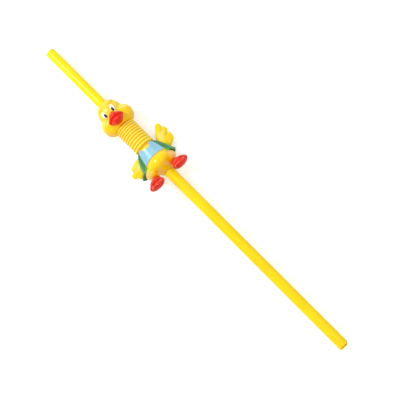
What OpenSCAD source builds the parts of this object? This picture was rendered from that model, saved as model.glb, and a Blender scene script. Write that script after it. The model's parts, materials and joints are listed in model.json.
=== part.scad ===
// Drinking straw in two tubes, joined by a hollow duckling figure with a bellows neck.
// It lies on its back, as it comes to rest on a table: +Y runs up the straw to the mouth end,
// +Z is the side that the face looks to, +X is on the right of someone who looks at the face.

/* [Tubes] */
// Outside diameter of the long lower tube
lower_d = 6.0; // [5.6:0.1:6.4]
// Length of the lower tube that shows below the figure
lower_show = 134.4; // [100:1:180]
// Outside diameter of the upper tube
upper_d = 5.6; // [5.0:0.1:5.8]
// Length of the upper tube that shows above the crown
upper_show = 42.3; // [30:1:80]
// Wall of both tubes
tube_wall = 0.4; // [0.3:0.05:0.5]
// How deep the upper tube is pushed into the crown
upper_seat = 7.0; // [5:0.5:9]
// How far the spigot is pushed into the lower tube
lower_seat = 4.0; // [3:0.5:6]
// How much the spigot and the socket taper over their length, in radius
taper = 0.15; // [0.1:0.01:0.2]
// Clearance between a tube and what it is pushed into or onto
push_gap = 0.02; // [0.01:0.01:0.04]
// Width of the corner that is nicked off the lower end
nick_w = 1.2; // [0.6:0.1:1.6]
// Height of that nick
nick_h = 1.5; // [0.8:0.1:2.5]

/* [Figure] */
// Height of the body, from the spigot's shoulder to the neck
body_h = 18.0; // [17:0.5:19]
// Height of the head, from the neck to the crown
head_h = 18.8; // [18.4:0.2:19.4]
// Wall of the moulding
figure_wall = 0.8; // [0.6:0.05:1.0]
// How softly the moulded forms run into each other
blend = 0.42; // [0.3:0.02:0.5]
// How far the waistcoat stands proud of the body
coat_proud = 0.55; // [0.3:0.05:0.8]
// How much further out its hem flares
coat_flare = 0.5; // [0:0.1:0.8]
// How much fuller it is at the shoulders, where the wings come out
coat_shoulder = 1.9; // [0:0.1:2]
// How far the shirt stands proud of the body
shirt_proud = 0.3; // [0.15:0.05:0.4]
// Sideways set of the thighs and feet
hip_set = -0.4; // [-0.6:0.1:0]

/* [Neck] */
// Height of the bellows neck
neck_h = 16.2; // [13:0.2:20]
// Number of bellows rings
ring_count = 10; // [7:1:12]
// Radius over the ridges
ridge_r = 6.1; // [5.8:0.1:6.5]
// Radius in the grooves
groove_r = 5.2; // [4.8:0.05:5.4]
// Wall of the bellows
neck_wall = 0.5; // [0.4:0.05:0.7]
// Pitch of the lowest ring as a multiple of the top one's
pitch_growth = 1.4; // [1:0.05:1.6]

/* [Hidden] */
$fn = 72;

// Heights up the straw, from the lower end
shoulder_z = lower_show;
neck_z = shoulder_z + body_h;
chin_z = neck_z + neck_h;
crown_z = chin_z + head_h;
mouth_z = crown_z + upper_show;

// Radii that fit into each other
lower_r = lower_d / 2;
upper_r = upper_d / 2;
spigot_r = lower_r - tube_wall - push_gap;
spigot_z = shoulder_z - lower_seat;
bore_r = spigot_r - figure_wall;
socket_r = upper_r + push_gap;
socket_z = crown_z - upper_seat;

yellow = [1, 0.86, 0.1];

// Further from the straw's axis than any moulded form goes
beyond = 16;

// Blended forms. Each form is [start, end, start radii, end radii]: an ellipsoid drawn from start to end.

function sum(v) = v * [for (x = v) 1];
function share(p, a, b) = a == b ? 0 : max(0, min(1, (p - a) * (b - a) / ((b - a) * (b - a))));
function over(v, r) = norm([v.x / r.x, v.y / r.y, v.z / r.z]);
function depth(p, form) =
    let (
        t = share(p, form[0], form[1]),
        r = form[2] + (form[3] - form[2]) * t
    )
    (1 - over(p - form[0] - (form[1] - form[0]) * t, r)) * min(r);
function level(p, forms) = sum([for (form = forms) exp(depth(p, form) / blend)]);

// Distance from a point inside the forms to their blended surface, along a direction
function reach(from, dir, forms, near, far, steps = 12) =
    steps == 0 ? near :
    let (mid = (near + far) / 2)
    level(from + dir * mid, forms) > 1 ?
        reach(from, dir, forms, mid, far, steps - 1) :
        reach(from, dir, forms, near, mid, steps - 1);

function blob(p, r) = [p, p, r, r];
function limb(a, b, ra, rb) = [a, b, ra, rb];
function ball(r) = [r, r, r];
function flip(form) = [for (v = [0:3]) v < 2 ? [-form[v].x, form[v].y, form[v].z] : form[v]];
function round_dir(a) = [cos(a), sin(a), 0];

// Skin over rings of equal length, closed at both ends by a fan to an end point
module skin(rings, low, high) {
    n = len(rings[0]);
    m = len(rings);
    points = concat([for (ring = rings) each ring], [low, high]);
    sides = [
        for (i = [0:m - 2], j = [0:n - 1])
            let (a = i * n + j, b = i * n + (j + 1) % n)
            each [[a, a + n, b + n], [a, b + n, b]]
    ];
    ends = [
        for (j = [0:n - 1])
            let (k = (j + 1) % n)
            each [[m * n, j, k], [m * n + 1, (m - 1) * n + k, (m - 1) * n + j]]
    ];
    polyhedron(points, concat(sides, ends), convexity = 6);
}

// Forms gathered round the straw's axis, cut flat at the two heights
module turned_forms(forms, low_z, high_z, least_r, around, levels) {
    rings = [
        for (i = [0:levels])
            let (z = low_z + (high_z - low_z) * (1 - cos(180 * i / levels)) / 2)
            [
                for (j = [0:around - 1])
                    let (dir = round_dir(360 * j / around))
                    [0, 0, z] + dir * max(least_r, reach([0, 0, z], dir, forms, 0, beyond))
            ]
    ];
    skin(rings, [0, 0, low_z], [0, 0, high_z]);
}

// Forms gathered round one point, with the poles of the skin along Y. A low flat draws its rings
// together at the rim, which suits a thin form, and lean slants them along X with the form.
module gathered_forms(forms, core, around, levels, flat = 1, lean = 0) {
    rings = [
        for (i = [1:levels - 1])
            let (lat = 180 * i / levels)
            [
                for (j = [0:around - 1])
                    let (
                        lon = 360 * j / around,
                        x = sin(lat) * cos(lon),
                        dir = [x, lean * x - flat * cos(lat), -sin(lat) * sin(lon)]
                    )
                    core + dir * reach(core, dir, forms, 0, beyond)
            ]
    ];
    skin(
        rings,
        core - [0, 1, 0] * reach(core, [0, -1, 0], forms, 0, beyond),
        core + [0, 1, 0] * reach(core, [0, 1, 0], forms, 0, beyond)
    );
}

// Head

skull_r = 7.6;
skull_z = crown_z - skull_r;
cheek = limb([4.7, -0.8, skull_z - 5.4], [4.6, -0.8, skull_z - 6.2], ball(5.3), ball(5.2));
brow = limb([1.7, -5.9, skull_z + 2.9], [5.0, -4.2, skull_z + 2.6], [1.2, 1.2, 1.0], [1.1, 1.2, 1.0]);
eye = blob([2.8, -5.7, skull_z - 0.6], [1.5, 1.9, 2.4]);
jaw_size = [7.7, 6.8, 5.4];
head_forms = [
    blob([0, 0, skull_z], [skull_r - 0.35, skull_r, skull_r]),
    cheek,
    flip(cheek),
    brow,
    flip(brow),
    eye,
    flip(eye),
    blob([0, -4.0, skull_z - 5.2], [4.6, 4.2, 4.6]),
    limb([0, 0.2, chin_z + 4.0], [0, 0.2, skull_z - 7.2], jaw_size, jaw_size)
];
bill_z = skull_z - 6.1;
bill_corner = limb([0, -9.2, bill_z + 0.3], [3.8, -8.2, bill_z - 0.5], [2.2, 3.2, 1.1], [1.2, 1.8, 0.8]);
upper_bill = [
    limb([0, -6.6, bill_z + 2.9], [0, -9.4, bill_z + 1.0], [1.8, 1.9, 1.4], [3.0, 2.3, 1.5]),
    bill_corner,
    flip(bill_corner)
];
lower_bill = [
    blob([0, -8.3, bill_z - 1.7], [3.6, 3.7, 2.4]),
    blob([0, -7.0, bill_z - 1.2], [4.3, 3.2, 2.0])
];

head_facets = 56;

module head() {
    turned_forms(head_forms, chin_z, crown_z - 0.4, socket_r + figure_wall, head_facets, 24);
    gathered_forms(upper_bill, [0, -8.0, bill_z + 0.6], 28, 14);
    gathered_forms(lower_bill, [0, -7.4, bill_z - 1.9], 24, 12);
}

// Body

waist = [0, 0.5, shoulder_z + 10.6];
function thigh(side) =
    limb(
        [side * 6.0 + hip_set, -1.0, shoulder_z + 4.4],
        [side * 6.2 + hip_set, -3.0, shoulder_z + 3.2],
        [4.4, 4.6, 3.6],
        [3.4, 3.6, 2.7]
    );
trunk = [
    limb([0, 0.5, shoulder_z + 5.8], waist, [9.2, 7.0, 4.6], [7.7, 6.4, 4.6]),
    limb(waist, [0, 0, neck_z - 1.5], [7.7, 6.4, 4.6], [5.4, 5.2, 3.0])
];
body_forms = concat(trunk, [
    blob([0, -0.4, shoulder_z + 2.6], [5.0, 5.0, 2.6]),
    blob([0, -3.5, shoulder_z + 4.9], [7.4, 6.4, 4.8]),
    thigh(-1),
    thigh(1)
]);
// The wings sweep back towards the table, so the straw can't roll on its round back
wing_root = 3.5;
wing_lean = 0.43;
function wing_at(x, up) = [x, wing_root + wing_lean * (abs(x) - 7), neck_z + up];
right_wing = [
    limb(wing_at(7.0, -4.4), wing_at(12.9, 5.5), [2.6, 1.8, 2.6], [1.8, 1.3, 1.8]),
    limb(wing_at(8.0, -3.4), wing_at(13.4, 0.9), [3.0, 1.9, 3.0], [2.2, 1.4, 2.3]),
    limb(wing_at(8.0, -5.2), wing_at(13.2, -3.7), [2.8, 1.9, 2.8], [2.4, 1.5, 2.4])
];
left_wing = [
    limb(wing_at(-7.0, -2.4), wing_at(-12.2, -2.9), [2.2, 1.9, 2.4], [1.9, 1.5, 2.1]),
    limb(wing_at(-8.0, -5.0), wing_at(-14.9, -5.7), [2.8, 1.9, 2.8], [1.7, 1.2, 1.7]),
    limb(wing_at(-8.0, -6.6), wing_at(-12.2, -8.3), [2.6, 1.9, 2.8], [1.9, 1.3, 1.9])
];

foot_x = 8.3;
foot_z = shoulder_z - 4.0;
function foot(side) =
    let (x = side * foot_x + hip_set)
    concat(
        [
            limb(
                [side * 6.2 + hip_set, -4.4, shoulder_z],
                [x, -8.2, foot_z + 1.3],
                [3.4, 3.0, 2.0],
                [4.3, 3.0, 1.7]
            ),
            blob([x, -8.2, foot_z - 0.4], [4.8, 3.6, 2.1])
        ],
        [
            for (toe = [-1, 0, 1])
                limb(
                    [x + 1.5 * toe, -7.6, foot_z - 0.9],
                    [x + 3.1 * toe, -10.6 + 0.7 * abs(toe), foot_z - 1.6 + 0.9 * abs(toe)],
                    [1.6, 1.8, 1.5],
                    [1.5, 1.5, 1.3]
                )
        ]
    );

// Full at both shoulders, flat between them and at the front edges
function shoulder_at(angle) = exp(-pow(min(abs(angle - 8), abs(angle - 172)) / 25, 2));

// Sheet of clothing on the body, between two edges and from its hem to its top
module panel(from_a, to_a, hem, top, proud, flare, shoulder, across, up) {
    sunk = 0.5;
    function place(i, j, out) =
        let (
            a = from_a[0] + (from_a[1] - from_a[0]) * j / up,
            b = to_a[0] + (to_a[1] - to_a[0]) * j / up,
            angle = a + (b - a) * i / across,
            low = hem[round(i)],
            z = low + (top[round(i)] - low) * j / up,
            full = shoulder * sin(180 * j / up) * shoulder_at(angle),
            lift = out ? proud + flare * pow(1 - j / up, 4) + full : -sunk
        )
        [0, 0, z] + round_dir(angle) * (reach([0, 0, z], round_dir(angle), body_forms, 0, beyond) + lift);
    rings = [
        for (j = [0:up])
            concat([for (i = [0:across]) place(i, j, true)], [for (i = [across:-1:0]) place(i, j, false)])
    ];
    points = [for (ring = rings) each ring];
    n = 2 * (across + 1);
    sides = [
        for (j = [0:up - 1], i = [0:n - 1])
            let (a = j * n + i, b = j * n + (i + 1) % n)
            each [[a, a + n, b + n], [a, b + n, b]]
    ];
    function cap(j, turn) = [
        for (i = [0:across - 1])
            let (a = j * n + i, b = a + 1, c = j * n + n - 2 - i, d = c + 1)
            each turn ? [[a, c, b], [a, d, c]] : [[a, b, c], [a, c, d]]
    ];
    polyhedron(points, concat(sides, cap(0, false), cap(up, true)), convexity = 6);
}

// Angles of the front edges at +X, at the hem and at the top
coat_edge = [-28, -26];
shirt_edge = [-19, -17];
function across_back(edge) = [180, 180] - edge;
coat_steps = 40;
coat_hem_z = shoulder_z + 5.0;
flap_rise = 1.6;
flap_share = 0.24;
coat_hem = [
    for (i = [0:coat_steps])
        let (side = min(i, coat_steps - i) / coat_steps * 2)
        coat_hem_z + flap_rise * max(0, 1 - side / flap_share)
];
coat_top = [for (i = [0:coat_steps]) neck_z - 0.1];
shirt_steps = 20;
shirt_hem = [
    for (i = [0:shirt_steps])
        let (off = abs(2 * i / shirt_steps - 1))
        shoulder_z + 9.6 - 0.9 * off * off
];
shirt_top = [
    for (i = [0:shirt_steps])
        let (off = abs(2 * i / shirt_steps - 1))
        neck_z - 0.1 - 2.7 * max(0, 1 - pow(off / 0.5, 4))
];

module clothes() {
    coat_back = across_back(coat_edge);
    shirt_far_edge = across_back(shirt_edge) - [360, 360];
    panel(coat_edge, coat_back, coat_hem, coat_top, coat_proud, coat_flare, coat_shoulder, coat_steps, 8);
    panel(shirt_far_edge, shirt_edge, shirt_hem, shirt_top, shirt_proud, 0, 0, shirt_steps, 6);
}

body_facets = 48;

module body() {
    turned_forms(body_forms, shoulder_z, neck_z, lower_r + figure_wall, body_facets, 22);
    gathered_forms(right_wing, wing_at(10.4, -1.6), 40, 11, 0.4, wing_lean);
    gathered_forms(left_wing, wing_at(-10.4, -5.4), 40, 11, 0.4, -wing_lean);
    for (side = [-1, 1]) {
        gathered_forms(foot(side), [side * foot_x + hip_set, -7.4, foot_z + 0.2], 32, 12);
    }
}

// Neck

function pitch_share(k) = 1 + (pitch_growth - 1) * (ring_count - 1 - k) / (ring_count - 1);
pitch_sum = sum([for (k = [0:ring_count - 1]) pitch_share(k)]);
function pitch(k) = neck_h * pitch_share(k) / pitch_sum;
function ring_z(k) = k == 0 ? pitch(0) / 2 : ring_z(k - 1) + (pitch(k - 1) + pitch(k)) / 2;
ring_steps = 8;
neck_profile = [
    for (k = [0:ring_count - 1], i = [0:ring_steps - 1])
        let (phase = i / ring_steps - 0.5)
        [groove_r + (ridge_r - groove_r) * cos(180 * phase), ring_z(k) + pitch(k) * phase]
];

neck_root = 0.6;

module neck() {
    ends = [[groove_r, neck_h], [groove_r, neck_h + neck_root], [0, neck_h + neck_root]];
    translate([0, 0, neck_z])
        rotate_extrude()
            polygon(concat([[0, -neck_root], [groove_r, -neck_root]], neck_profile, ends));
}

module spigot() {
    root_r = spigot_r + taper;
    rotate_extrude()
        polygon([
            [0, spigot_z], [spigot_r, spigot_z], [root_r, shoulder_z], [root_r, shoulder_z + 1],
            [0, shoulder_z + 1]
        ]);
}

// The way through the figure: two hollows that follow the skin, with the inside of the bellows between

function least_reach(z, forms) =
    min([for (a = [0:15:345]) reach([0, 0, z], round_dir(a), forms, 0, beyond)]);
function hollow(forms, low_z, high_z, levels) = [
    for (i = [0:levels])
        let (z = low_z + (high_z - low_z) * i / levels)
        [least_reach(z, forms) - figure_wall, z]
];

module passage() {
    folds = [for (p = neck_profile) [p.x - neck_wall, neck_z + p.y]];
    rotate_extrude()
        polygon(concat(
            [[0, spigot_z - 1], [bore_r, spigot_z - 1], [bore_r, shoulder_z + figure_wall]],
            hollow(body_forms, shoulder_z + 2 * figure_wall, neck_z - 1, 9),
            folds,
            [[groove_r - neck_wall, chin_z + neck_root]],
            hollow(head_forms, chin_z + 1.5, socket_z - 1, 9),
            [[upper_r - taper - tube_wall, socket_z], [socket_r - taper, socket_z]],
            [[socket_r, crown_z], [socket_r, crown_z + 1], [0, crown_z + 1]]
        ));
}

module duck_figure() {
    color(yellow)
        difference() {
            union() {
                body();
                clothes();
                neck();
                head();
                spigot();
            }
            passage();
        }
}

// Tube whose outside is given as points [radius, height]
module tube(outside) {
    inside = [for (i = [len(outside) - 1:-1:0]) outside[i] - [tube_wall, 0]];
    rotate_extrude()
        polygon(concat(outside, inside));
}

// Its end is squeezed by the tapered socket
module upper_straw() {
    color("yellow")
        tube([[upper_r - taper, socket_z], [upper_r, crown_z], [upper_r, mouth_z]]);
}

// Its end is spread by the tapered spigot
module lower_straw() {
    color("gold")
        difference() {
            tube([[lower_r, 0], [lower_r, spigot_z], [lower_r + taper, shoulder_z]]);
            translate([lower_r - nick_w, -lower_r, 0])
                rotate([0, atan(nick_w / nick_h), 0])
                    translate([0, 0, -5])
                        cube([5, 2 * lower_r, 5 + norm([nick_w, nick_h])]);
        }
}

// The waistcoat's hem and the back of the skull touch the table
hem_y = reach([0, 0, coat_hem_z], [0, 1, 0], body_forms, 0, beyond) + coat_proud + coat_flare;
hem_to_skull = skull_z - coat_hem_z;
rest_tilt = acos(skull_r / norm([hem_y, hem_to_skull])) - atan2(hem_to_skull, hem_y);

module lay() {
    translate([0, coat_hem_z - mouth_z / 2, 0])
        rotate([-90 - rest_tilt, 0, 0])
            translate([0, -hem_y, -coat_hem_z])
                children();
}

lay() duck_figure();
lay() upper_straw();
lay() lower_straw();
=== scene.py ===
import json
from math import atan2, cos, exp, pi, radians, sin

import bmesh
import bpy
import numpy as np
from mathutils import Matrix, Vector
from mathutils.bvhtree import BVHTree


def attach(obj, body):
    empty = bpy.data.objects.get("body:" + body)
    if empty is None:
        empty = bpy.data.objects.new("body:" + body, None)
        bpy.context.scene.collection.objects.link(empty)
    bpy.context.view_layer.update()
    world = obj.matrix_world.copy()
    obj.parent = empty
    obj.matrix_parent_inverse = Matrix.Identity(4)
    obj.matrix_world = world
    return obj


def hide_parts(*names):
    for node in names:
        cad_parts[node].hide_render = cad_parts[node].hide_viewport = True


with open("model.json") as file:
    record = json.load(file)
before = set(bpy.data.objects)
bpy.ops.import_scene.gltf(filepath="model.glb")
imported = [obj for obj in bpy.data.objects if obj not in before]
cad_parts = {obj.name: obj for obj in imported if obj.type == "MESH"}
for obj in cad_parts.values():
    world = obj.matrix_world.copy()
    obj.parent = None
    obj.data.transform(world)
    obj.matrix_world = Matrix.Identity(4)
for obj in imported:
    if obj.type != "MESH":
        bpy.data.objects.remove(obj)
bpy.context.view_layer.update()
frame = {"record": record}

print("frame loaded")

# Everything is modelled upright in millimetres: z runs up the straw from its lower end, the face
# looks to -y and +x is on the right of someone who looks at it. layDown then lays it on the table.
mounts = {mount["name"]: mount for mount in frame["record"]["mounts"]}
lowerMount = mounts["lower_tube"]
mouthMount = mounts["mouth_tube"]
plainRun = lowerMount["dims"]["length_mm"]
strawUp = -Vector(lowerMount["axis"])
turnDown = Matrix.Rotation(atan2(strawUp.z, strawUp.y) - pi / 2, 4, "X")
layDown = (Matrix.Translation(Vector(lowerMount["pos_m"])) @ turnDown @ Matrix.Scale(0.001, 4)
           @ Matrix.Translation((0, 0, -plainRun / 2)))

straw = {
    "lowerRadius": lowerMount["dims"]["r_mm"],
    "upperRadius": mouthMount["dims"]["r_mm"],
    "wall": 0.4,
    "plainRun": plainRun,           # from the lower end to the spigot
    "spigotLength": 4.0,
    "taper": 0.15,                  # of the spigot and the socket, in radius
    "clearance": 0.02,              # between the lower tube and the lip round it
    "upperSeat": 7.0,
    "upperShow": mouthMount["dims"]["length_mm"],
    "nickWidth": 1.2,
    "nickHeight": 1.5,
    "rim": 0.07,
    "steps": 128,
}
figure = {
    "bodyHeight": 18.0,
    "neckHeight": 16.2,
    "headHeight": 18.8,
    "skullRadius": 7.6,
    "hipSet": -0.9,                 # the thighs and feet sit this much to the left
    "lip": 0.6,
}
shoulderZ = straw["plainRun"] + straw["spigotLength"]
neckZ = shoulderZ + figure["bodyHeight"]
chinZ = neckZ + figure["neckHeight"]
crownZ = chinZ + figure["headHeight"]
mouthZ = crownZ + straw["upperShow"]
skullZ = crownZ - figure["skullRadius"]
trunk = Vector((0, 0, shoulderZ))
skull = Vector((0, 0, skullZ))


# Material helpers

def newMaterial(name):
    material = bpy.data.materials.new(name)
    material.use_nodes = True
    return material, material.node_tree, material.node_tree.nodes["Principled BSDF"]


def addNode(tree, kind, inputs=None, **settings):
    node = tree.nodes.new(kind)
    for key, value in settings.items():
        setattr(node, key, value)
    for key, value in (inputs or {}).items():
        if isinstance(value, bpy.types.NodeSocket):
            tree.links.new(value, node.inputs[key])
        else:
            node.inputs[key].default_value = value
    return node


def calculate(tree, operation, first, second=0.0):
    return addNode(tree, "ShaderNodeMath", {0: first, 1: second}, operation=operation).outputs[0]


def fade(tree, value, fromLow, fromHigh, toLow=0.0, toHigh=1.0):
    return addNode(tree, "ShaderNodeMapRange", {
        "Value": value, "From Min": fromLow, "From Max": fromHigh, "To Min": toLow, "To Max": toHigh},
        interpolation_type="SMOOTHSTEP").outputs[0]


def blendColours(tree, share, first, second):
    return addNode(tree, "ShaderNodeMix", {0: share, 6: first, 7: second}, data_type="RGBA").outputs[2]


def paint(red, green, blue):
    # an sRGB colour, 0 to 255, as the shader wants it
    return tuple(((c / 255 + 0.055) / 1.055) ** 2.4 if c > 10 else c / 3294.6
                 for c in (red, green, blue)) + (1.0,)


def uprightPlace(tree):
    # the same upright millimetres that the shapes are modelled in
    back = layDown.inverted()
    coordinates = addNode(tree, "ShaderNodeTexCoord").outputs["Object"]
    return addNode(tree, "ShaderNodeMapping", {
        "Vector": coordinates, "Location": back.to_translation(), "Rotation": back.to_euler(),
        "Scale": back.to_scale()}).outputs[0]


def axesOf(tree, place):
    return addNode(tree, "ShaderNodeSeparateXYZ", {0: place}).outputs


def lengthOf(tree, vector):
    return addNode(tree, "ShaderNodeVectorMath", {0: vector}, operation="LENGTH").outputs["Value"]


def ridgeOf(tree):
    return addNode(tree, "ShaderNodeAttribute", attribute_name="ridge").outputs["Fac"]


def speckle(tree, place, scale, detail=4.0, stretch=(1, 1, 1)):
    placed = addNode(tree, "ShaderNodeMapping", {"Vector": place, "Scale": stretch}).outputs[0]
    return addNode(tree, "ShaderNodeTexNoise", {
        "Vector": placed, "Scale": scale, "Detail": detail, "Roughness": 0.55}).outputs["Fac"]


def wobble(tree, place, scale, size, detail=4.0):
    # the same speckle, but swinging about 0
    centred = calculate(tree, "SUBTRACT", speckle(tree, place, scale, detail), 0.5)
    return calculate(tree, "MULTIPLY", centred, size)


def relief(tree, shader, height, strength, depth):
    bump = addNode(tree, "ShaderNodeBump", {"Height": height, "Strength": strength, "Distance": depth})
    tree.links.new(bump.outputs[0], shader.inputs["Normal"])


# Mesh helpers

weldDistance = 1e-5     # mm


def addObject(name, data):
    made = bpy.data.objects.new(name, data)
    bpy.context.scene.collection.objects.link(made)
    return made


def meshFrom(bm, name):
    # the bmesh is used up
    mesh = bpy.data.meshes.new(name)
    bm.to_mesh(mesh)
    bm.free()
    return mesh


def addEllipsoid(bm, centre, radii):
    made = bmesh.ops.create_uvsphere(bm, u_segments=32, v_segments=16, radius=1)["verts"]
    bmesh.ops.scale(bm, vec=radii, verts=made)
    bmesh.ops.translate(bm, vec=centre, verts=made)


def addLimb(bm, start, end, startRadii, endRadii):
    # the tight skin over two ellipsoids
    part = bmesh.new()
    addEllipsoid(part, start, startRadii)
    addEllipsoid(part, end, endRadii)
    bmesh.ops.delete(part, geom=part.edges[:], context="EDGES_FACES")
    bmesh.ops.convex_hull(part, input=part.verts[:])
    bmesh.ops.delete(part, geom=[v for v in part.verts if not v.link_faces], context="VERTS")
    mesh = meshFrom(part, "limb")
    bm.from_mesh(mesh)
    bpy.data.meshes.remove(mesh)


def addLimbs(bm, origin, limbs):
    for start, end, startRadii, endRadii in limbs:
        addLimb(bm, origin + Vector(start), origin + Vector(end), startRadii, endRadii)


def ball(centre, radii):
    # a limb whose two ends lie in one place
    return centre, centre, radii, radii


def bothSides(limbs):
    flip = Vector((-1, 1, 1))
    mirrored = [(Vector(start) * flip, Vector(end) * flip, startRadii, endRadii)
                for start, end, startRadii, endRadii in limbs]
    return [limb for pair in zip(limbs, mirrored) for limb in pair]


def evaluated(bm, modifiers):
    # the mesh of bm after a stack of modifiers, as a new bmesh
    mesh = meshFrom(bm, "work")
    work = addObject("work", mesh)
    for kind, settings in modifiers:
        modifier = work.modifiers.new(kind, kind)
        for key, value in settings.items():
            setattr(modifier, key, value)
    result = bpy.data.meshes.new_from_object(
        work.evaluated_get(bpy.context.evaluated_depsgraph_get()))
    bpy.data.objects.remove(work)
    bpy.data.meshes.remove(mesh)
    done = bmesh.new()
    done.from_mesh(result)
    bpy.data.meshes.remove(result)
    return done


def fuse(bm, voxel, rounds):
    # overlapping closed forms become one skin, whose creases are softened
    return evaluated(bm, [("REMESH", {"mode": "VOXEL", "voxel_size": voxel}),
                          ("SMOOTH", {"factor": 0.5, "iterations": rounds})])


def carve(bm, cutter):
    # bm without the cutter's forms
    cutMesh = meshFrom(cutter, "cutter")
    cutObject = addObject("cutter", cutMesh)
    done = evaluated(bm, [("BOOLEAN", {"object": cutObject, "operation": "DIFFERENCE"})])
    bpy.data.objects.remove(cutObject)
    bpy.data.meshes.remove(cutMesh)
    return done


def cutOff(bm, place, outward):
    # removes what lies outward of a plane and gives the edges that are open then
    bmesh.ops.bisect_plane(bm, geom=bm.verts[:] + bm.edges[:] + bm.faces[:], dist=weldDistance,
                           plane_co=place, plane_no=outward, clear_outer=True)
    return [edge for edge in bm.edges if edge.is_boundary]


def splitLargeFaces(bm):
    bmesh.ops.triangulate(bm, faces=[face for face in bm.faces if len(face.verts) > 4])


def cutFlat(bm, height):
    # cuts off what is below a height and closes the skin again
    bmesh.ops.holes_fill(bm, edges=cutOff(bm, (0, 0, height), (0, 0, -1)))
    splitLargeFaces(bm)


def roundSharp(bm, edges, size):
    sharp = [edge for edge in edges if edge.calc_face_angle(0) > 1]
    bmesh.ops.bevel(bm, geom=sharp, offset=size, affect="EDGES", segments=3, profile=0.5,
                    material=-1, clamp_overlap=True)


def revolve(bm, outline, steps):
    # turns a closed outline of (radius, height) about the straw's axis
    points = [bm.verts.new((radius, 0, height)) for radius, height in outline]
    edges = [bm.edges.new((a, b)) for a, b in zip(points, points[1:] + points[:1])]
    bmesh.ops.spin(bm, geom=points + edges, cent=(0, 0, 0), axis=(0, 0, 1), angle=2 * pi,
                   steps=steps, use_merge=True)
    bmesh.ops.remove_doubles(bm, verts=bm.verts[:], dist=weldDistance)
    bmesh.ops.recalc_face_normals(bm, faces=bm.faces[:])


def markRidges(mesh, spread):
    # a "ridge" attribute: above 0.5 on what stands out, below it in creases
    count = len(mesh.vertices)
    place = np.empty(count * 3, np.float32)
    normal = np.empty(count * 3, np.float32)
    edges = np.empty(len(mesh.edges) * 2, np.int32)
    mesh.vertices.foreach_get("co", place)
    mesh.vertices.foreach_get("normal", normal)
    mesh.edges.foreach_get("vertices", edges)
    place, normal, edges = place.reshape(-1, 3), normal.reshape(-1, 3), edges.reshape(-1, 2)
    degree = np.bincount(edges.ravel(), minlength=count).clip(1)

    def neighbours(values):
        total = np.zeros_like(values)
        np.add.at(total, edges[:, 0], values[edges[:, 1]])
        np.add.at(total, edges[:, 1], values[edges[:, 0]])
        return total / (degree[:, None] if values.ndim == 2 else degree)

    length = np.linalg.norm(place[edges[:, 0]] - place[edges[:, 1]], axis=1).mean()
    ridge = -((neighbours(place) - place) * normal).sum(axis=1) / length
    for _ in range(spread):
        ridge = 0.5 * ridge + 0.5 * neighbours(ridge)
    attribute = mesh.attributes.new("ridge", "FLOAT", "POINT")
    attribute.data.foreach_set("value", (0.5 + 4 * ridge).clip(0, 1).astype(np.float32))


def finishPiece(name, bm, material, nodeName, smoothAngle=60, ridgeSpread=3):
    bmesh.ops.transform(bm, matrix=layDown, verts=bm.verts[:])
    mesh = meshFrom(bm, name)
    for polygon in mesh.polygons:
        polygon.use_smooth = True
    markRidges(mesh, ridgeSpread)
    mesh.set_sharp_from_angle(angle=radians(smoothAngle))
    mesh.materials.append(material)
    piece = addObject(name, mesh)
    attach(piece, "root")
    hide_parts(nodeName)
    triangles = sum(len(polygon.vertices) - 2 for polygon in mesh.polygons)
    print(f"{name}: {triangles} triangles")


# Materials

# the shine of each surface, and the scale of its unevenness and of its orange peel
surfaces = {
    "tube": {"shine": 0.3, "roughness": (0.2, 0.3)},
    "moulding": {"shine": 0.38, "roughness": (0.09, 0.17), "uneven": 0.5, "peel": 1.6},
    "bellows": {"shine": 0.34, "roughness": (0.16, 0.26), "uneven": 0.5, "peel": 1.6},
    "paint": {"shine": 0.35, "roughness": (0.24, 0.38), "uneven": 0.6, "peel": 2.2},
}
reliefDepth = 0.00002   # m
spray = {
    "edge": 0.06,       # softness of a spot that gives none, as a share of its size
    "wanderFrom": 0.2,  # spots softer than this get a wandering edge
    "wanderScale": 0.45,
    "wander": 0.3,
}


def surface(tree, shader, kind, unevenness):
    roughness = fade(tree, unevenness, 0.3, 0.7, *surfaces[kind]["roughness"])
    tree.links.new(roughness, shader.inputs["Roughness"])
    shader.inputs["Specular IOR Level"].default_value = surfaces[kind]["shine"]


def mouldedSurface(tree, shader, place, kind):
    # uneven gloss and a faint orange peel
    surface(tree, shader, kind, speckle(tree, place, surfaces[kind]["uneven"]))
    relief(tree, shader, speckle(tree, place, surfaces[kind]["peel"], 2.0), 0.35, reliefDepth)


def tubeMaterial(name, colour, deeperColour):
    # extruded tube: faint draw lines along it
    material, tree, shader = newMaterial(name)
    place = uprightPlace(tree)
    streaks = speckle(tree, place, 1.0, 5.0, (2.2, 2.2, 0.03))
    clouds = speckle(tree, place, 0.06, 2.0)
    tone = calculate(tree, "MULTIPLY", calculate(tree, "ADD", streaks, clouds), 0.5)
    shade = blendColours(tree, fade(tree, tone, 0.35, 0.65), colour, deeperColour)
    tree.links.new(shade, shader.inputs["Base Color"])
    surface(tree, shader, "tube", streaks)
    relief(tree, shader, streaks, 0.2, reliefDepth)
    return material


def oval(tree, place, spot):
    # 1 inside a spot, 0 outside it
    soft = spot.get("soft", spray["edge"])
    wander = 0.0
    if soft > spray["wanderFrom"]:
        wander = wobble(tree, place, spray["wanderScale"], spray["wander"])
    placed = addNode(tree, "ShaderNodeMapping", {
        "Vector": place, "Location": spot["at"], "Rotation": (0, spot.get("lean", 0), 0),
        "Scale": spot["size"]}, vector_type="TEXTURE").outputs[0]
    return fade(tree, calculate(tree, "ADD", lengthOf(tree, placed), wander), 1 + soft, 1 - soft)


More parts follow.
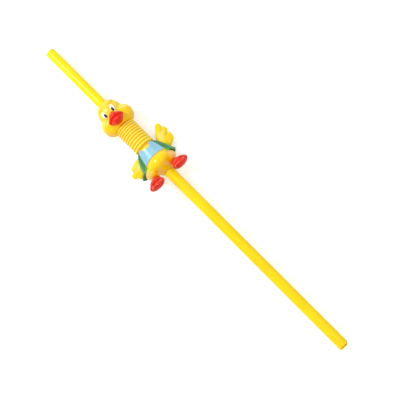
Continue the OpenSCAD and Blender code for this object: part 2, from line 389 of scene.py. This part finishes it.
def hemShadow(tree, place, shadowBand):
    # painted shadow at the front, along the edge of the clothes
    across, depth, height = axesOf(tree, place)
    bow = calculate(tree, "MULTIPLY", calculate(tree, "MULTIPLY", across, across), shadowBand["bow"])
    level = calculate(tree, "ADD", height, bow)
    below = fade(tree, level, shadowBand["z"] - shadowBand["wide"], shadowBand["z"], 0.0, shadowBand["cover"])
    above = fade(tree, level, shadowBand["z"] + shadowBand["tuckedTo"], shadowBand["z"] + shadowBand["tuckedFrom"])
    line = calculate(tree, "MULTIPLY", below, above)
    return calculate(tree, "MULTIPLY", line, fade(tree, depth, 0, -2))


def mouldingMaterial(name, low, high, deepColour, spots, shadowBand=None):
    # the moulding's yellow, from a low to a high colour, with painted shade in its creases, spots (some of
    # them painted light or shade) and a painted shadow along the clothes if given
    material, tree, shader = newMaterial(name)
    place = uprightPlace(tree)
    level = calculate(tree, "ADD", axesOf(tree, place)[2], wobble(tree, place, 0.2, 4.0))
    colour = blendColours(tree, fade(tree, level, low["z"], high["z"]), low["colour"], high["colour"])
    # painted shade: a deeper colour in the creases
    colour = blendColours(tree, fade(tree, ridgeOf(tree), 0.48, 0.2), colour, deepColour)
    for spot in spots:
        share = calculate(tree, "MULTIPLY", oval(tree, place, spot), spot.get("cover", 1.0))
        colour = blendColours(tree, share, colour, spot["colour"])
    # painted shadow under the edge of the clothes
    if shadowBand:
        colour = blendColours(tree, hemShadow(tree, place, shadowBand), colour, shadowBand["colour"])
    tree.links.new(colour, shader.inputs["Base Color"])
    mouldedSurface(tree, shader, place, "moulding")
    return material


def sprayMaterial(name, look):
    # paint with painted shade in its creases, worn on ridges
    material, tree, shader = newMaterial(name)
    place = uprightPlace(tree)
    ridge = ridgeOf(tree)
    clouds = speckle(tree, place, 0.35)
    colour = blendColours(tree, fade(tree, clouds, 0.35, 0.65), look["colour"], look["dark"])
    # painted shade: the dark colour in the creases
    colour = blendColours(tree, fade(tree, ridge, 0.46, 0.2), colour, look["dark"])
    if "paintedShading" in look:
        # painted light and shade by the angle in front of the figure's sides, in degrees
        across, depth, height = axesOf(tree, place)
        forwards = calculate(tree, "MULTIPLY", depth, -1.0)
        angle = calculate(tree, "ARCTAN2", forwards, calculate(tree, "ABSOLUTE", across))
        angle = calculate(tree, "ADD", calculate(tree, "MULTIPLY", angle, 180 / pi),
                          calculate(tree, "MULTIPLY", clouds, 4.0))
        for shade in look["paintedShading"]:
            share = fade(tree, angle, shade["from"] + 2, shade["to"] + 2, 0.0, shade["cover"])
            if "below" in shade:
                lower = fade(tree, height, shade["below"], shade["below"] - 3)
                share = calculate(tree, "MULTIPLY", share, lower)
            colour = blendColours(tree, share, colour, shade["colour"])
    rubbed = calculate(tree, "ADD", ridge, wobble(tree, place, look["grain"], 0.9, 6.0))
    share = fade(tree, rubbed, look["wornFrom"], look["wornTo"], 0.0, look["wornCover"])
    tree.links.new(blendColours(tree, share, colour, look["worn"]), shader.inputs["Base Color"])
    mouldedSurface(tree, shader, place, "paint")
    return material


# Straws

lowerColours = paint(255, 228, 0), paint(254, 211, 0)
upperColours = paint(255, 232, 4), paint(254, 224, 0)


def roundRims(bm, heights):
    rims = [edge for edge in bm.edges if not edge.is_boundary
            and any(all(abs(v.co.z - height) < 1e-4 for v in edge.verts) for height in heights)]
    roundSharp(bm, rims, straw["rim"])


def tube(bm, outside):
    inside = [(radius - straw["wall"], height) for radius, height in reversed(outside)]
    revolve(bm, outside + inside, straw["steps"])


def lowerStraw():
    radius = straw["lowerRadius"]
    bm = bmesh.new()
    tube(bm, [(radius, 0), (radius, straw["plainRun"]), (radius + straw["taper"], shoulderZ)])
    nick = Vector((straw["nickHeight"], 0, -straw["nickWidth"])).normalized()
    bmesh.ops.contextual_create(bm, geom=cutOff(bm, (radius - straw["nickWidth"], 0, 0), nick))
    roundRims(bm, [0, shoulderZ])
    splitLargeFaces(bm)
    material = tubeMaterial("orangeYellowTube", *lowerColours)
    finishPiece("lower_straw_tube", bm, material, "lower_straw", 35)


def upperStraw():
    radius = straw["upperRadius"]
    low = crownZ - straw["upperSeat"]
    bm = bmesh.new()
    tube(bm, [(radius - straw["taper"], low), (radius, crownZ), (radius, mouthZ)])
    roundRims(bm, [low, mouthZ])
    material = tubeMaterial("lemonTube", *upperColours)
    finishPiece("upper_straw_tube", bm, material, "upper_straw", 35)


# Bellows neck

neck = {
    "rings": 10,
    "ridge": 6.1,
    "groove": 5.2,
    "growth": 1.4,      # the lowest pitch over the top one
    "stepsPerRing": 14,
    "wall": 0.5,
    "root": 0.6,
    "steps": 144,
    # painted shade in the grooves
    "deepColour": paint(250, 166, 0),
    "colour": paint(255, 220, 12),
    "flankFrom": -0.05, "flankTo": 0.32,    # beyond the groove's radius
    # painted highlight along the crest of each ridge
    "crestHighlight": paint(255, 246, 130),
    "crestFrom": -0.25, "crestTo": -0.02,   # beyond the ridge's radius
    "crestCover": 0.75,
}


def bellows():
    shares = [1 + (neck["growth"] - 1) * (1 - k / (neck["rings"] - 1)) for k in range(neck["rings"])]
    pitches = [figure["neckHeight"] * share / sum(shares) for share in shares]
    outline = [(neck["groove"], -neck["root"])]
    base = 0.0
    for pitch in pitches:
        for step in range(neck["stepsPerRing"]):
            phase = step / neck["stepsPerRing"]
            radius = neck["groove"] + (neck["ridge"] - neck["groove"]) * sin(pi * phase)
            outline.append((radius, base + pitch * phase))
        base += pitch
    outline += [(neck["groove"], base), (neck["groove"], base + neck["root"])]
    inner = [(radius - neck["wall"], height) for radius, height in reversed(outline)]
    bm = bmesh.new()
    revolve(bm, outline + inner, neck["steps"])
    bmesh.ops.translate(bm, vec=(0, 0, neckZ), verts=bm.verts[:])
    finishPiece("bellows_neck", bm, bellowsMaterial(), "duck_figure", 70, 1)


def bellowsMaterial():
    # painted shade deepens the colour from the ridges down into the grooves, and a painted highlight runs
    # along each crest
    material, tree, shader = newMaterial("bellowsYellow")
    place = uprightPlace(tree)
    flat = addNode(tree, "ShaderNodeVectorMath", {0: place, 1: (1, 1, 0)}, operation="MULTIPLY").outputs[0]
    radius = calculate(tree, "ADD", lengthOf(tree, flat), wobble(tree, place, 0.5, 0.2))
    flank = fade(tree, radius, neck["groove"] + neck["flankFrom"], neck["groove"] + neck["flankTo"])
    crest = fade(tree, radius, neck["ridge"] + neck["crestFrom"], neck["ridge"] + neck["crestTo"],
                 0.0, neck["crestCover"])
    colour = blendColours(tree, flank, neck["deepColour"], neck["colour"])
    tree.links.new(blendColours(tree, crest, colour, neck["crestHighlight"]), shader.inputs["Base Color"])
    mouldedSurface(tree, shader, place, "bellows")
    return material


# Head

# painted shade, used beside, under and over the eyes
deepYellow = paint(255, 208, 0)
face = {
    "set": -0.44,                   # the painted face sits this much to the left
    "eyeAt": (3.0, -5.75, -0.6),
    "eyeSize": (1.45, 1.8, 2.3),
    "socketAt": (3.1, -8.3, -0.3),
    "socketSize": (1.95, 1.8, 3.0),
    "whiteSize": (1.16, 9.0, 2.2),
    "white": paint(255, 254, 242),
    "pupilAt": (2.6, -8.0, -1.45),
    "pupilSize": (0.66, 9.0, 1.2),
    "pupil": paint(14, 0, 4),
    "glintAt": (0.05, 0, 0.3),      # from the pupil's middle
    "glintSize": (0.15, 9.0, 0.18),
    "glint": paint(190, 170, 170),
    "voxel": 0.2,
    "rounds": 6,
    # painted light and shade: deeper yellow low on the head, paler towards its top
    "low": {"z": skullZ - 8, "colour": paint(255, 210, 0)},
    "high": {"z": skullZ - 2, "colour": paint(255, 218, 66)},
    # painted shade in the head's creases
    "deep": paint(255, 212, 0),
    # cheeks, painted shade beside the eyes, under them and over them, and painted light on the cheeks
    "spots": [
        {"at": (9.7, 0, -11.2), "size": (3.0, 8.0, 3.4), "soft": 0.5, "cover": 0.85,
         "colour": paint(253, 190, 92)},
        {"at": (6.7, -4.5, -0.2), "size": (1.4, 6.0, 3.6), "lean": 0.35, "aside": 0.4, "soft": 0.6,
         "cover": 0.85, "coverLeft": 0.35, "colour": deepYellow},
        {"at": (4.6, -5.5, -3.9), "size": (1.5, 6.0, 0.7), "lean": 0.6, "aside": -0.3, "soft": 0.5,
         "cover": 0.8, "colour": deepYellow},
        {"at": (3.0, -7.0, 2.4), "size": (1.0, 6.0, 0.55), "aside": -0.3, "soft": 0.5,
         "cover": 0.8, "colour": deepYellow},
        {"at": (7.4, -2.4, -3.4), "size": (3.0, 6.0, 1.3), "lean": 0.3, "soft": 0.6,
         "cover": 0.7, "colour": paint(255, 238, 120)},
    ],
}


def bothSpots(origin, spots):
    # each spot on the left and on the right; "aside" moves the two of them one way
    pairs = []
    for spot in spots:
        x, y, z = spot["at"]
        for side in (-1, 1):
            twin = dict(spot, at=origin + Vector((side * x + spot.get("aside", 0), y, z)),
                        lean=side * spot.get("lean", 0))
            if side < 0 and "coverLeft" in spot:
                twin["cover"] = spot["coverLeft"]
            pairs.append(twin)
    return pairs


def headForms():
    middle = [
        ball((0, 0, 0), (7.25, 7.6, 7.6)),
        ball((0, -4.0, -5.6), (4.6, 4.2, 4.6)),
        ball((0, 0.2, -7.2), (7.7, 6.8, 5.4)),
    ]
    # the cheek at -x is the fuller one
    cheeks = [
        ((4.7, -0.8, -5.4), (4.6, -0.8, -6.3), (5.3, 5.3, 5.3), (5.2, 5.2, 5.2)),
        ((-4.7, -0.8, -5.4), (-4.9, -0.8, -6.9), (5.3, 5.3, 5.3), (5.2, 5.2, 5.2)),
    ]
    # only the brow at +x runs on to the temple
    brows = bothSides([((1.6, -6.0, 3.2), (3.7, -5.1, 3.5), (1.2, 1.3, 1.0), (1.1, 1.2, 1.0))])
    brows.append(((3.7, -5.1, 3.5), (4.7, -2.8, 4.1), (1.1, 1.2, 1.0), (1.0, 1.1, 0.9)))
    return middle + cheeks + brows


def eyePair(place):
    # the two places of an eye feature, left and right
    x, y, z = place
    return [skull + Vector((side * x + face["set"], y, z)) for side in (-1, 1)]


def eyeSpots():
    spots = []
    for side, place in zip((-1, 1), eyePair(face["eyeAt"])):
        spots.append({"at": place, "size": face["whiteSize"], "lean": side * 0.08, "colour": face["white"]})
    for side, place in zip((-1, 1), eyePair(face["pupilAt"])):
        spots.append({"at": place, "size": face["pupilSize"], "lean": side * 0.05, "colour": face["pupil"]})
        spots.append({"at": place + Vector(face["glintAt"]), "size": face["glintSize"], "soft": 0.3,
                      "cover": 0.5, "colour": face["glint"]})
    return spots


def head():
    bm = bmesh.new()
    addLimbs(bm, skull, headForms())
    bm = fuse(bm, face["voxel"], 4)
    cutter = bmesh.new()
    for place in eyePair(face["socketAt"]):
        addEllipsoid(cutter, place, face["socketSize"])
    bm = carve(bm, cutter)
    for place in eyePair(face["eyeAt"]):
        addEllipsoid(bm, place, face["eyeSize"])
    bm = fuse(bm, face["voxel"], face["rounds"])
    cutFlat(bm, chinZ)
    spots = bothSpots(skull, face["spots"]) + eyeSpots()
    material = mouldingMaterial("headYellow", face["low"], face["high"], face["deep"], spots)
    finishPiece("duckling_head", bm, material, "duck_figure")


# Bill

beak = {
    "under": 6.1,       # below the skull's centre
    "voxel": 0.13,
    "rounds": 4,
    "paint": {"colour": paint(254, 46, 18), "dark": paint(232, 24, 4), "worn": paint(252, 118, 88),
              "wornFrom": 0.66, "wornTo": 0.98, "wornCover": 0.6, "grain": 2.4},
}


def bill():
    upper = [((0, -7.0, 2.8), (0, -10.2, 0.9), (1.8, 1.8, 1.3), (2.7, 1.7, 0.95))]
    upper += bothSides([
        ((0, -7.2, 1.8), (2.2, -7.6, 0.4), (2.0, 1.9, 2.0), (1.8, 1.8, 1.5)),
        ((2.2, -7.6, 0.4), (3.8, -7.4, -0.6), (1.8, 1.8, 1.5), (1.15, 1.6, 0.8)),
        ((0, -11.6, 0.3), (2.4, -10.8, 0.05), (0.95, 0.8, 0.68), (0.95, 0.8, 0.68)),
        ((2.4, -10.8, 0.05), (4.2, -8.7, -0.7), (0.95, 0.8, 0.68), (0.7, 0.8, 0.6)),
    ])
    lower = [
        ball((0, -8.3, -1.95), (3.6, 3.6, 2.35)),
        ball((0, -7.0, -1.2), (4.2, 3.2, 1.9)),
    ]
    bm = bmesh.new()
    addLimbs(bm, skull + Vector((0, 0, -beak["under"])), upper + lower)
    bm = fuse(bm, beak["voxel"], beak["rounds"])
    material = sprayMaterial("billRed", beak["paint"])
    finishPiece("duckling_bill", bm, material, "duck_figure")


# Clothes

clothesTop = figure["bodyHeight"] - 0.1
coat = {
    "edgeHem": -28, "edgeTop": -26,     # degrees about the straw, where its front edge at +x runs
    "hem": 5.0, "flapRise": 1.6, "flapShare": 0.24,
    "riseRight": 1.3, "riseLeft": 0.5, "riseAt": 0.3, "riseSpread": 0.2,
    "proud": 0.5, "flare": 0.5, "fullRight": 1.3, "fullLeft": 1.9, "fullAt": 8, "fullSpread": 24,
    "thick": 0.9, "rounding": 0.16, "across": 180, "up": 36,
}
# painted shade towards the front edges, and a bright painted highlight on the rim where they end
coatPaint = {
    "colour": paint(92, 160, 104), "dark": paint(70, 140, 88), "worn": paint(160, 200, 160),
    "wornFrom": 0.75, "wornTo": 1.1, "wornCover": 0.5, "grain": 2.4,
    "paintedShading": [
        {"from": 7, "to": 16, "cover": 0.85, "colour": paint(30, 124, 58)},
        {"from": 22.5, "to": 25, "cover": 0.9, "colour": paint(66, 172, 44),
         "below": shoulderZ + coat["hem"] + 6},
    ],
}
shirt = {
    "edgeHem": -19, "edgeTop": -17,
    "hem": 9.6, "hemDrop": 0.9, "scoop": 2.7, "scoopShare": 0.47,
    "proud": 0.3, "thick": 0.8, "rounding": 0.12, "across": 90, "up": 40,
}
shirtPaint = {
    "colour": paint(154, 205, 225), "dark": paint(138, 195, 218), "worn": paint(196, 168, 184),
    "wornFrom": 0.66, "wornTo": 0.74, "wornCover": 0.7, "grain": 1.1,
}


rayStart = 20       # mm from the axis, outside everything
missedReach = 6     # mm from the axis, where a ray meets no skin


def panel(skin, cloth, place, proud):
    # a sheet over the body: place gives the angle and height at a share across and a share up
    bm = bmesh.new()
    bmesh.ops.create_grid(bm, x_segments=cloth["across"], y_segments=cloth["up"], size=0.5)
    for vert in bm.verts:
        share = vert.co.y + 0.5
        angle, height = place(vert.co.x + 0.5, share)
        direction = Vector((cos(angle), sin(angle), 0))
        axis = Vector((0, 0, height))
        hit = skin.ray_cast(axis + direction * rayStart, -direction)[0]
        reach = Vector((hit.x, hit.y, 0)).length if hit else missedReach
        vert.co = axis + direction * (reach + proud(direction, share))
    for _ in range(2):
        bmesh.ops.smooth_vert(bm, verts=[v for v in bm.verts if not v.is_boundary], factor=0.5,
                              use_axis_x=True, use_axis_y=True, use_axis_z=True)
    bm.faces.ensure_lookup_table()
    bmesh.ops.recalc_face_normals(bm, faces=bm.faces[:])
    middle = bm.faces[len(bm.faces) // 2]
    if middle.normal.dot(middle.calc_center_median() * Vector((1, 1, 0))) < 0:
        bmesh.ops.reverse_faces(bm, faces=bm.faces[:])
    bmesh.ops.solidify(bm, geom=bm.faces[:], thickness=cloth["thick"])
    roundSharp(bm, bm.edges, cloth["rounding"])
    bmesh.ops.recalc_face_normals(bm, faces=bm.faces[:])
    return bm


def edgeAngle(cloth, up):
    return radians(cloth["edgeHem"] + (cloth["edgeTop"] - cloth["edgeHem"]) * up)


def waistcoat(skin):
    def place(share, up):
        start = edgeAngle(coat, up)
        side = 1 - abs(2 * share - 1)
        hem = coat["hem"] + coat["flapRise"] * max(0, 1 - side / coat["flapShare"])
        rise = coat["riseRight"] if share < 0.5 else coat["riseLeft"]
        hem += rise * exp(-((side - coat["riseAt"]) / coat["riseSpread"]) ** 2)
        return start + (pi - 2 * start) * share, shoulderZ + hem + (clothesTop - hem) * up

    def proud(direction, up):
        # full over the shoulders, close to the body at the back and at the front edges
        full = coat["fullRight"] if direction.x > 0 else coat["fullLeft"]
        fromSide = atan2(direction.y, abs(direction.x)) - radians(coat["fullAt"])
        full *= exp(-(fromSide / radians(coat["fullSpread"])) ** 2) * (1 - up ** 8)
        return coat["proud"] + coat["flare"] * (1 - up) ** 4 + full

    bm = panel(skin, coat, place, proud)
    material = sprayMaterial("coatGreen", coatPaint)
    finishPiece("green_waistcoat", bm, material, "duck_figure")


def blueShirt(skin):
    def place(share, up):
        off = abs(2 * share - 1)
        end = edgeAngle(shirt, up)
        hem = shirt["hem"] - shirt["hemDrop"] * off * off
        top = clothesTop - shirt["scoop"] * max(0, 1 - (off / shirt["scoopShare"]) ** 4)
        return -pi - end + (2 * end + pi) * share, shoulderZ + hem + (top - hem) * up

    bm = panel(skin, shirt, place, lambda direction, up: shirt["proud"])
    material = sprayMaterial("shirtBlue", shirtPaint)
    finishPiece("blue_shirt", bm, material, "duck_figure")


# Body and wings

hips = figure["hipSet"]
torso = {
    "voxel": 0.25,
    "rounds": 24,
    "low": {"z": shoulderZ, "colour": paint(255, 200, 0)},
    "high": {"z": shoulderZ + 8, "colour": paint(255, 220, 4)},
    # painted shade in the body's creases
    "deep": paint(252, 176, 0),
    # painted shadow under the shirt's hem
    "shadowBand": {"z": shoulderZ + shirt["hem"] - 0.1, "wide": 0.5, "bow": 0.014, "tuckedFrom": 0.7,
              "tuckedTo": 1.4, "cover": 0.75, "colour": paint(248, 160, 20)},
    "flanks": {"at": (14, 6, 15), "size": (6.5, 7, 13), "soft": 0.3, "cover": 0.6,
               "colour": paint(255, 218, 20)},
    "throat": {"at": trunk + Vector((-0.2, -5, 17)), "size": (4.4, 4, 2.4), "soft": 0.3, "cover": 0.7,
               "colour": paint(255, 218, 70)},
    "thighs": {"at": (9.6, 0, 3.9), "size": (2.9, 20, 4.0), "aside": hips, "soft": 0.3,
               "cover": 0.95, "colour": paint(255, 196, 104)},
    "belly": {"at": (3.0, -6, 1.3), "size": (1.3, 5, 0.8), "lean": 0.6, "aside": hips, "soft": 0.5,
              "cover": 0.7, "colour": paint(255, 208, 104)},
}
wing = {
    "root": 3.5, "lean": 0.43,
    "voxel": 0.2, "rounds": 6,
    # across, up and lean of the painted highlight on the middle, and of the painted shade between two
    # feathers
    "highlights": [(10.4, -0.6, 0.6), (-10.4, -4.0, -1.2)],
    "highlightLook": {"size": (1.7, 5, 3.4), "soft": 0.6, "cover": 0.6, "colour": paint(255, 238, 140)},
    "creases": [(11.9, 2.2, 0.77), (12.3, -1.2, 1.17), (-12.2, -3.8, 1.57), (-12.2, -6.5, 1.5)],
    "creaseShadeLook": {"size": (0.45, 4, 2.2), "soft": 0.5, "cover": 0.7, "colour": paint(255, 196, 0)},
}


def wingAt(x, up):
    return (x, wing["root"] + wing["lean"] * (abs(x) - 7), figure["bodyHeight"] + up)


def wingSpots(places, look):
    return [dict(look, at=Vector(wingAt(x, up)) + trunk, lean=lean) for x, up, lean in places]


def bodyForms():
    middle = [
        ((0, 0.5, 5.8), (0, 0.5, 10.6), (9.2, 7.0, 4.6), (7.7, 6.4, 4.6)),
        ((0, 0.5, 10.6), (0, 0, 16.5), (7.7, 6.4, 4.6), (5.4, 5.2, 3.0)),
        ball((0, -0.2, 1.7), (4.8, 4.8, 3.1)),
        ball((0, -3.5, 4.9), (7.4, 6.4, 4.8)),
    ]
    thighs = [((side * 6.0 + hips, -1.0, 4.4), (side * 6.2 + hips, -3.0, 3.2),
               (4.4, 4.6, 3.6), (3.4, 3.6, 2.7)) for side in (-1, 1)]
    return middle + thighs


def wingForms():
    right = [
        (wingAt(7.0, -4.4), wingAt(12.8, 5.5), (2.5, 1.8, 2.5), (1.7, 1.3, 1.7)),
        (wingAt(8.0, -3.4), wingAt(13.7, 1.7), (2.8, 1.9, 2.8), (1.9, 1.4, 2.0)),
        (wingAt(8.0, -4.6), wingAt(13.5, -2.7), (2.7, 1.9, 2.8), (2.0, 1.5, 2.0)),
        (wingAt(10.4, -5.3), wingAt(13.0, -4.1), (2.4, 1.6, 2.5), (1.9, 1.4, 2.0)),
        ball(wingAt(12.2, 3.0), (1.7, 1.05, 1.7)),
        ball(wingAt(12.7, -0.6), (1.7, 1.05, 1.7)),
    ]
    left = [
        (wingAt(-7.0, -2.4), wingAt(-12.4, -2.5), (2.2, 1.9, 2.2), (1.8, 1.5, 1.9)),
        (wingAt(-8.0, -5.0), wingAt(-14.9, -5.1), (2.8, 1.9, 2.8), (1.6, 1.3, 1.7)),
        (wingAt(-8.0, -6.6), wingAt(-12.6, -7.6), (2.6, 1.9, 2.8), (1.8, 1.3, 1.8)),
        (wingAt(-11.4, -3.6), wingAt(-13.0, -4.2), (2.0, 1.3, 2.0), (1.5, 1.05, 1.5)),
        (wingAt(-12.4, -6.9), wingAt(-13.6, -6.2), (1.8, 1.2, 1.8), (1.5, 1.05, 1.5)),
    ]
    return right + left


def trunkSkin(wings=()):
    # the body's forms run softly into each other, the wings' feathers less so
    bm = bmesh.new()
    addLimbs(bm, trunk, bodyForms())
    bm = fuse(bm, torso["voxel"], torso["rounds"])
    if wings:
        addLimbs(bm, trunk, wings)
        bm = fuse(bm, wing["voxel"], wing["rounds"])
    cutFlat(bm, shoulderZ - figure["lip"])
    return bm


def bodySpots():
    # the wings' spots are a painted highlight and painted shade between the feathers
    return (bothSpots(trunk, [torso["flanks"]]) + wingSpots(wing["highlights"], wing["highlightLook"])
            + wingSpots(wing["creases"], wing["creaseShadeLook"]) + [torso["throat"]]
            + bothSpots(trunk, [torso["thighs"], torso["belly"]]))


def body():
    bm = trunkSkin(wingForms())
    # the lip at the bottom goes round the end of the lower straw
    hole = straw["lowerRadius"] + straw["taper"] + straw["clearance"]
    cutter = bmesh.new()
    bmesh.ops.create_cone(cutter, cap_ends=True, segments=96, radius1=hole, radius2=hole,
                          depth=straw["spigotLength"])
    bmesh.ops.translate(cutter, vec=(0, 0, shoulderZ - straw["spigotLength"] / 2), verts=cutter.verts[:])
    bm = carve(bm, cutter)
    material = mouldingMaterial("bodyYellow", torso["low"], torso["high"], torso["deep"], bodySpots(),
                                torso["shadowBand"])
    finishPiece("duckling_body", bm, material, "duck_figure")


# Feet

foot = {
    "x": 8.3,
    "z": -3.6,
    "leftHigher": 0.4,      # the left instep over the right one
    "toeGap": 2.5,
    "toeSize": (1.2, 1.2, 0.9),
    "voxel": 0.16,
    "rounds": 7,
    "paint": {"colour": paint(244, 50, 24), "dark": paint(206, 22, 8), "worn": paint(240, 134, 106),
              "wornFrom": 0.62, "wornTo": 0.9, "wornCover": 0.85, "grain": 2.4},
}


def footForms(side):
    instep = 1.1 + (foot["leftHigher"] if side < 0 else 0)
    forms = [
        ((-side * 1.4, -4.0, 2.8), (0, -7.0, 1.0), (2.6, 2.2, 1.8), (3.6, 2.6, 1.6)),
        ball((side * 0.2, -7.6, -0.3), (4.9, 2.4, 2.6)),
        ball((0, -7.9, instep), (3.4, 2.7, 1.6)),
        ball((0, -8.5, -1.0), (4.1, 2.6, 1.8)),
        ((0, -8.2, -0.1), (side * 3.6, -8.2, -0.3), (3.5, 1.8, 2.2), (1.25, 1.3, 1.3)),
        ((0, -8.2, -0.1), (-side * 2.9, -8.2, -0.3), (3.5, 1.8, 2.2), (1.35, 1.3, 1.3)),
    ]
    for toe in (-1, 0, 1):
        tip = (foot["toeGap"] * toe, -10.1 + 0.5 * abs(toe), -1.1 + 0.2 * abs(toe))
        forms.append(ball(tip, foot["toeSize"]))
    return forms


def feet():
    material = sprayMaterial("footRed", foot["paint"])
    for side, name in ((-1, "left_foot"), (1, "right_foot")):
        bm = bmesh.new()
        addLimbs(bm, Vector((side * foot["x"] + hips, 0, shoulderZ + foot["z"])), footForms(side))
        bm = fuse(bm, foot["voxel"], foot["rounds"])
        finishPiece(name, bm, material, "duck_figure")


lowerStraw()
upperStraw()
print("straws done")
bellows()
head()
bill()
print("head done")
skinMesh = trunkSkin()
skin = BVHTree.FromBMesh(skinMesh)
skinMesh.free()
waistcoat(skin)
blueShirt(skin)
body()
feet()
print("body done")


# Table, light and camera

camera = {
    "distance": 1.11,
    "focal": 189.0,                 # mm on a 36 mm wide picture
    "below": 16.5,                  # degrees that the lower end leans towards the camera
    "roll": 44.95,                  # degrees from the picture's width to the straw
    "aimAt": 110.9,                 # mm up the straw
    "aside": 0.00106,               # the straw passes this far left of the picture's middle
}
studio = {
    "surroundings": 0.66,           # the light from all sides
    "tableGlow": 0.38,              # only the camera sees it
    "tableReach": 3,                # metres from its middle to an edge
    "lampTarget": (0, 0.04, 0.01),
    # at: metres in the picture's right, up and towards the camera
    "lamps": {
        "key": {"at": (-0.75, 0.3, 0.6), "wide": 0.26, "high": 0.26, "watts": 4.9},
        "strip": {"at": (0.1, 0.1, 1.2), "wide": 1.6, "high": 0.12, "watts": 2.1},
    },
}


def table():
    material, tree, shader = newMaterial("whiteTable")
    shader.inputs["Base Color"].default_value = (0.9, 0.9, 0.9, 1)
    shader.inputs["Roughness"].default_value = 0.9
    shader.inputs["Specular IOR Level"].default_value = 0.1
    grain = speckle(tree, addNode(tree, "ShaderNodeTexCoord").outputs["Object"], 900.0)
    relief(tree, shader, grain, 0.05, 0.00005)
    seen = addNode(tree, "ShaderNodeLightPath").outputs["Is Camera Ray"]
    glow = calculate(tree, "MULTIPLY", seen, studio["tableGlow"])
    shader.inputs["Emission Color"].default_value = (1, 1, 1, 1)
    tree.links.new(glow, shader.inputs["Emission Strength"])
    bm = bmesh.new()
    bmesh.ops.create_grid(bm, x_segments=1, y_segments=1, size=studio["tableReach"])
    mesh = meshFrom(bm, "table")
    mesh.materials.append(material)
    piece = addObject("table", mesh)


def takePicture():
    below, roll = radians(camera["below"]), radians(camera["roll"])
    turn = turnDown.to_3x3()
    towards = turn @ Vector((0, -cos(below), -sin(below)))
    footWay = turn @ Vector((0, sin(below), -cos(below)))
    rightWay = Vector((1, 0, 0))
    pictureRight = cos(roll) * footWay + sin(roll) * rightWay
    pictureUp = -sin(roll) * footWay + cos(roll) * rightWay
    view = Matrix((pictureRight, pictureUp, towards)).transposed()
    aim = layDown @ Vector((0, 0, camera["aimAt"]))
    place = aim + towards * camera["distance"] + pictureRight * camera["aside"]
    data = bpy.data.cameras.new("camera")
    data.lens, data.sensor_width = camera["focal"], 36.0
    bpy.context.scene.camera = addObject("camera", data)
    bpy.context.scene.camera.matrix_world = Matrix.Translation(place) @ view.to_4x4()
    return view


def addLamp(name, place, lamp):
    # its width runs across the straw
    data = bpy.data.lights.new(name, "AREA")
    data.shape, data.size, data.size_y = "RECTANGLE", lamp["wide"], lamp["high"]
    data.energy = lamp["watts"]
    back = (place - Vector(studio["lampTarget"])).normalized()
    up = back.cross(Vector((1, 0, 0))).normalized()
    turn = Matrix((up.cross(back), up, back)).transposed().to_4x4()
    addObject(name, data).matrix_world = Matrix.Translation(place) @ turn


def light(view):
    for name, lamp in studio["lamps"].items():
        addLamp(name, view @ Vector(lamp["at"]), lamp)
    world = bpy.data.worlds.new("studio")
    bpy.context.scene.world = world
    world.use_nodes = True
    tree = world.node_tree
    background = tree.nodes["Background"]
    seen = addNode(tree, "ShaderNodeLightPath").outputs["Is Camera Ray"]
    background.inputs["Color"].default_value = (1, 1, 1, 1)
    tree.links.new(fade(tree, seen, 0, 1, studio["surroundings"], 1.0), background.inputs["Strength"])


table()
light(takePicture())
bpy.context.scene.view_settings.view_transform = "Standard"
print("scene done")
